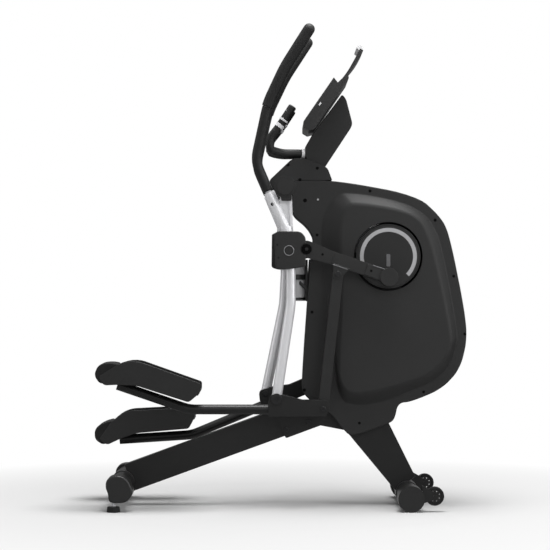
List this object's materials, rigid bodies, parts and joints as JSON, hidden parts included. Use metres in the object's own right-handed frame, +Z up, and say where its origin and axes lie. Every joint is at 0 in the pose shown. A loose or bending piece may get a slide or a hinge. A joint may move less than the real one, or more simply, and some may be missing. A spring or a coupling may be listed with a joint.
{
  "type": "elliptical trainer",
  "caption": "Front-drive elliptical trainer with swinging handles, hanging-link pedals, an enclosed flywheel, a sloped console and a floor frame with transport wheels.",
  "frame": {"origin": "on the floor, under the middle of the machine's box", "axes": "+Z up, +X towards the housing and flywheel end, +Y to the user's left when facing the console"},
  "size_m": [1.3415, 0.552, 1.7049],
  "materials": {
    "black_paint": "satin",
    "black_plastic": "fine texture",
    "cast_alloy": "satin",
    "chrome": "polished",
    "foam": "fine grain",
    "gloss_black": "semi gloss",
    "iron": "turned",
    "rubber": "matte",
    "screen": "glossy",
    "silver": "silver paint",
    "steel": "zinc plated"
  },
  "bodies": {
    "frame": {"base_beam": "black_paint", "front_leg": "black_paint", "spine_post": "black_paint", "joint_plates": "black_paint", "frame_bolts": "steel", "front_stabilizer": "black_paint", "rear_stabilizer": "black_paint", "front_end_caps": "black_plastic", "rear_end_caps": "black_plastic", "wheel_brackets": "black_paint", "near_housing": "black_plastic", "far_housing": "black_plastic", "neck_cover": "black_plastic", "console_mast": "black_plastic", "console_body": "black_plastic", "console_screen": "screen", "tablet_rest": "gloss_black", "fixed_handlebar": "black_paint", "handlebar_rings": "chrome", "pivot_axle": "steel", "bottle_cage": "black_plastic", "drive_belt": "rubber", "drive_frame": "black_paint"},
    "crank": {"crank_axle": "steel", "drive_pulley": "iron", "crank_arms": "black_paint", "crank_discs": "gloss_black"},
    "flywheel": {"flywheel": "iron"},
    "magnets": {"brake_magnets": "steel"},
    "near_wheel": {"near_wheel": "black_plastic"},
    "far_wheel": {"far_wheel": "black_plastic"},
    "near_foot": {"near_foot": "rubber"},
    "far_foot": {"far_foot": "rubber"},
    "near_arm": {"near_arm_casting": "cast_alloy", "near_swing_tube": "silver", "near_handle_tube": "silver", "near_handle_foam": "foam", "near_arm_box": "black_plastic", "near_hub_cap": "gloss_black", "near_rod_bolt": "steel"},
    "near_rod": {"near_connecting_rod": "black_paint"},
    "near_link": {"near_drop_link": "black_paint"},
    "near_pedal": {"near_pedal_arm": "black_paint", "near_pedal_bolts": "steel", "near_pedal_tray": "black_plastic", "near_pedal_pad": "rubber"},
    "far_arm": {"far_arm_casting": "cast_alloy", "far_swing_tube": "silver", "far_handle_tube": "silver", "far_handle_foam": "foam", "far_arm_box": "black_plastic", "far_hub_cap": "gloss_black", "far_rod_bolt": "steel"},
    "far_rod": {"far_connecting_rod": "black_paint"},
    "far_link": {"far_drop_link": "black_paint"},
    "far_pedal": {"far_pedal_arm": "black_paint", "far_pedal_bolts": "steel", "far_pedal_tray": "black_plastic", "far_pedal_pad": "rubber"}
  },
  "joints": [
    {"name": "crank_turn", "type": "hinge", "parent": "frame", "child": "crank", "pos_m": [0.3891, 0, 0.891], "axis": [0, -1, 0], "range_deg": [0, 70]},
    {"name": "near_arm_swing", "type": "hinge", "parent": "frame", "child": "near_arm", "pos_m": [0.0221, -0.155, 1.134], "axis": [0, -1, 0], "range_deg": [0, 18.28]},
    {"name": "near_rod_swing", "type": "hinge", "parent": "near_arm", "child": "near_rod", "pos_m": [0.09817, -0.155, 0.91602], "axis": [0, -1, 0], "range_deg": [-15.69, 0]},
    {"name": "near_pedal_swing", "type": "hinge", "parent": "near_arm", "child": "near_pedal", "pos_m": [-0.00766, -0.155, 0.38899], "axis": [0, -1, 0], "range_deg": [-10.1, 0]},
    {"name": "near_link_swing", "type": "hinge", "parent": "near_rod", "child": "near_link", "pos_m": [0.20888, -0.155, 0.82807], "axis": [0, -1, 0], "range_deg": [0, 18.01]},
    {"name": "far_arm_swing", "type": "hinge", "parent": "frame", "child": "far_arm", "pos_m": [0.0221, 0.155, 1.134], "axis": [0, -1, 0], "range_deg": [-18.28, 0]},
    {"name": "far_rod_swing", "type": "hinge", "parent": "far_arm", "child": "far_rod", "pos_m": [0.08649, 0.155, 0.91229], "axis": [0, -1, 0], "range_deg": [0, 10.95]},
    {"name": "far_pedal_swing", "type": "hinge", "parent": "far_arm", "child": "far_pedal", "pos_m": [-0.04719, 0.155, 0.39162], "axis": [0, -1, 0], "range_deg": [0, 10.4]},
    {"name": "far_link_swing", "type": "hinge", "parent": "far_rod", "child": "far_link", "pos_m": [0.22567, 0.155, 0.88738], "axis": [0, -1, 0], "range_deg": [-12.25, 0]},
    {"name": "flywheel_turn", "type": "hinge", "parent": "frame", "child": "flywheel", "pos_m": [0.4721, 0, 0.585], "axis": [0, -1, 0], "range_deg": [0, 355]},
    {"name": "magnet_swing", "type": "hinge", "parent": "frame", "child": "magnets", "pos_m": [0.2971, 0, 0.48], "axis": [0, -1, 0], "range_deg": [0, 4]},
    {"name": "near_wheel_turn", "type": "hinge", "parent": "frame", "child": "near_wheel", "pos_m": [0.5431, -0.24, 0.055], "axis": [0, 1, 0], "continuous": true},
    {"name": "near_foot_screw", "type": "slide", "parent": "frame", "child": "near_foot", "axis": [0, 0, -1], "range_m": [0, 0.012]},
    {"name": "far_wheel_turn", "type": "hinge", "parent": "frame", "child": "far_wheel", "pos_m": [0.5431, 0.24, 0.055], "axis": [0, 1, 0], "continuous": true},
    {"name": "far_foot_screw", "type": "slide", "parent": "frame", "child": "far_foot", "axis": [0, 0, -1], "range_m": [0, 0.012]}
  ],
  "couplings": [
    {"joint": "near_arm_swing", "follows": "crank_turn", "ratio": 0.26089},
    {"joint": "near_rod_swing", "follows": "crank_turn", "ratio": -0.22397},
    {"joint": "near_pedal_swing", "follows": "crank_turn", "ratio": -0.14405},
    {"joint": "near_link_swing", "follows": "crank_turn", "ratio": 0.25703},
    {"joint": "far_arm_swing", "follows": "crank_turn", "ratio": -0.2609},
    {"joint": "far_rod_swing", "follows": "crank_turn", "ratio": 0.15621},
    {"joint": "far_pedal_swing", "follows": "crank_turn", "ratio": 0.14842},
    {"joint": "far_link_swing", "follows": "crank_turn", "ratio": -0.17473},
    {"joint": "flywheel_turn", "follows": "crank_turn", "ratio": 5}
  ]
}
